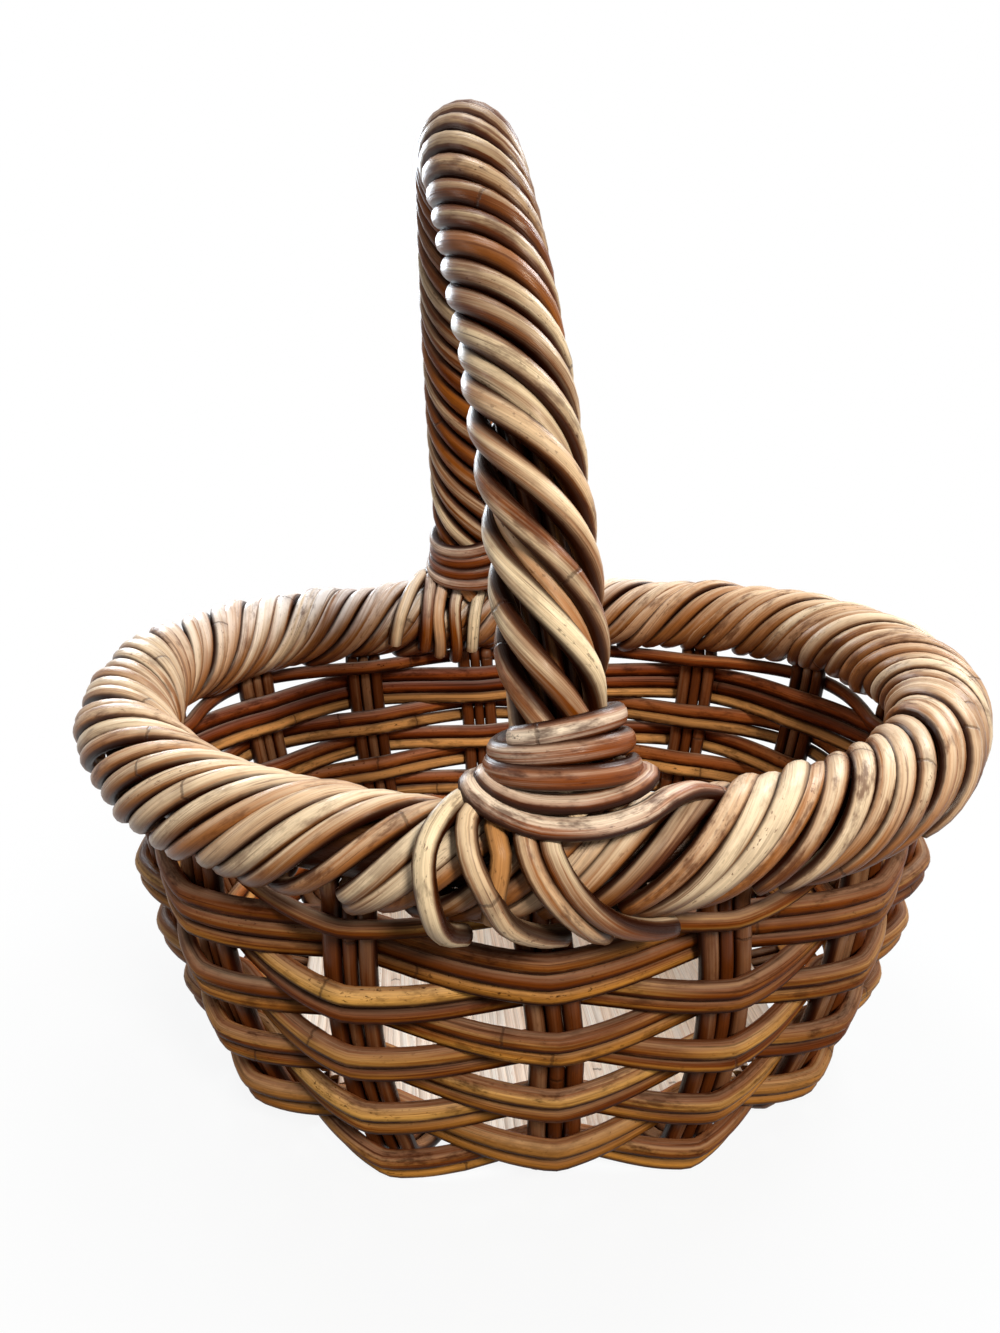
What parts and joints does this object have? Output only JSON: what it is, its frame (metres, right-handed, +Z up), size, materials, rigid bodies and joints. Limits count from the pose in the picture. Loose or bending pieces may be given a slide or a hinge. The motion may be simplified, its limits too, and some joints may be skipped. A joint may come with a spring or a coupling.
{
  "type": "harvest basket",
  "caption": "Oval cane harvest basket with an open woven wall, a rolled rope border and a fixed twisted overhead handle bound at both feet.",
  "frame": {"origin": "on the floor, under the middle of the part's box", "axes": "+Z up, +X along the basket's length, +Y across it, from the near handle foot to the far one"},
  "size_m": [0.402, 0.3448, 0.4076],
  "materials": {
    "stake_cane": "satin varnished cane",
    "weaver_cane": "satin varnished cane",
    "hoop_rod": "plain rod",
    "handle_cane": "satin varnished cane",
    "collar_cane": "satin varnished cane",
    "base_cane": "pale bare cane"
  },
  "bodies": {
    "root": {"rim_hoop": "hoop_rod", "stake_group_1": "stake_cane", "stake_group_2": "stake_cane", "stake_group_3": "stake_cane", "stake_group_4": "stake_cane", "stake_group_5": "stake_cane", "stake_group_6": "stake_cane", "stake_group_7": "stake_cane", "stake_group_8": "stake_cane", "stake_group_9": "stake_cane", "stake_group_10": "stake_cane", "stake_group_11": "stake_cane", "stake_group_12": "stake_cane", "stake_group_13": "stake_cane", "stake_group_14": "stake_cane", "stake_group_15": "stake_cane", "weaver_1_lower": "weaver_cane", "weaver_1_upper": "weaver_cane", "weaver_2_lower": "weaver_cane", "weaver_2_upper": "weaver_cane", "weaver_3_lower": "weaver_cane", "weaver_3_upper": "weaver_cane", "weaver_4_lower": "weaver_cane", "weaver_4_upper": "weaver_cane", "weaver_5_lower": "weaver_cane", "weaver_5_upper": "weaver_cane", "weaver_6_lower": "weaver_cane", "weaver_6_upper": "weaver_cane", "weaver_7_lower": "weaver_cane", "weaver_7_upper": "weaver_cane", "weaver_8_lower": "weaver_cane", "weaver_8_upper": "weaver_cane", "top_weaver_lower": "weaver_cane", "top_weaver_upper": "weaver_cane", "base_stick_1": "base_cane", "base_stick_2": "base_cane", "base_stick_3": "base_cane", "base_stick_4": "base_cane", "base_stick_5": "base_cane", "base_mat": "base_cane", "handle_core": "hoop_rod", "handle_cane_1": "handle_cane", "handle_cane_2": "handle_cane", "handle_cane_3": "handle_cane", "handle_cane_4": "handle_cane", "handle_cane_5": "handle_cane", "handle_cane_6": "handle_cane", "handle_cane_7": "handle_cane", "handle_cane_8": "handle_cane", "collar_near": "collar_cane", "collar_far": "collar_cane"}
  },
  "joints": []
}
